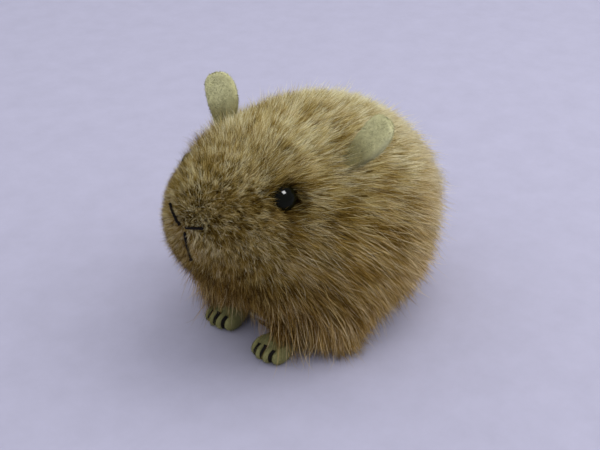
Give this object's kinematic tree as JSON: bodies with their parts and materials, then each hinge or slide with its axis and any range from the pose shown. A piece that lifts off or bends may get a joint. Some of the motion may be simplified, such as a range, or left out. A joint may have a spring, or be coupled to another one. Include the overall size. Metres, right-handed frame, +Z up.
{
  "type": "clockwork mouse",
  "caption": "Fur-covered clockwork toy mouse with felt ears and paws, bead eyes, a spring motor on a tin base plate, driven wheels and a side winding key.",
  "frame": {"origin": "on the floor, under the middle of the whole toy's box; the nose-to-rump plane lies at y = 5.95 mm because the key stands out of the right flank", "axes": "+X towards the nose, +Y to the animal's left, +Z up"},
  "size_m": [0.0853, 0.0674, 0.0626],
  "materials": {
    "fur": "short agouti fur pile, brown with pale tips",
    "shell_plastic": "moulded",
    "screw_steel": "zinc plated",
    "eye_bead": "polished black bead",
    "washer_plastic": "moulded",
    "felt": "khaki wool felt",
    "thread": "black embroidery thread",
    "tinplate": "bright tinplate",
    "motor_plate": "brass-washed steel",
    "shaft_steel": "bright drawn steel",
    "brass": "stamped brass",
    "spring_steel": "blued spring steel",
    "wheel_paint": "red enamel",
    "rubber": "matt black rubber",
    "key_plating": "nickel-plated steel"
  },
  "bodies": {
    "chassis": {"pelt": "fur", "body_shell": "shell_plastic", "shell_screws": "screw_steel", "eye_left": "eye_bead", "eye_right": "eye_bead", "eye_washers": "washer_plastic", "ear_left": "felt", "ear_right": "felt", "nose_stitches": "thread", "mouth_stitch": "thread", "paw_left": "felt", "paw_right": "felt", "base_plate": "tinplate", "chassis_screws": "screw_steel", "motor_plate_left": "motor_plate", "motor_plate_right": "motor_plate", "plate_pillars": "shaft_steel", "axle_bushes": "brass", "intermediate_bushes": "brass", "arbor_bushes": "brass", "mainspring": "spring_steel", "key_eyelet": "brass", "roller_pin": "shaft_steel"},
    "drive": {"drive_axle": "shaft_steel", "drive_pinion": "brass", "wheel_left": "wheel_paint", "wheel_right": "wheel_paint", "tyre_left": "rubber", "tyre_right": "rubber"},
    "intermediate": {"intermediate_arbor": "shaft_steel", "intermediate_pinion": "brass", "intermediate_wheel": "brass"},
    "great": {"great_wheel": "brass", "click": "spring_steel", "click_rivet": "shaft_steel"},
    "winding": {"winding_arbor": "shaft_steel", "arbor_collar": "shaft_steel", "ratchet_wheel": "spring_steel", "winding_key": "key_plating"},
    "roller": {"front_roller": "rubber"}
  },
  "joints": [
    {"name": "axle_spin", "type": "hinge", "parent": "chassis", "child": "drive", "pos_m": [-0.01, 0.00595, 0.009], "axis": [0, 1, 0], "continuous": true},
    {"name": "intermediate_spin", "type": "hinge", "parent": "chassis", "child": "intermediate", "pos_m": [-0.0019, 0.00595, 0.01865], "axis": [0, 1, 0], "continuous": true},
    {"name": "great_wheel_spin", "type": "hinge", "parent": "chassis", "child": "great", "pos_m": [-0.00451, 0.00595, 0.03342], "axis": [0, 1, 0], "continuous": true},
    {"name": "key_wind", "type": "hinge", "parent": "great", "child": "winding", "pos_m": [-0.00451, 0.00595, 0.03342], "axis": [0, 1, 0], "continuous": true, "deforming": ["mainspring", "click"]},
    {"name": "roller_spin", "type": "hinge", "parent": "chassis", "child": "roller", "pos_m": [0.0135, 0.00595, 0.0025], "axis": [0, 1, 0], "continuous": true}
  ],
  "couplings": [
    {"joint": "intermediate_spin", "follows": "axle_spin", "ratio": -0.3125},
    {"joint": "great_wheel_spin", "follows": "axle_spin", "ratio": 0.078125}
  ]
}
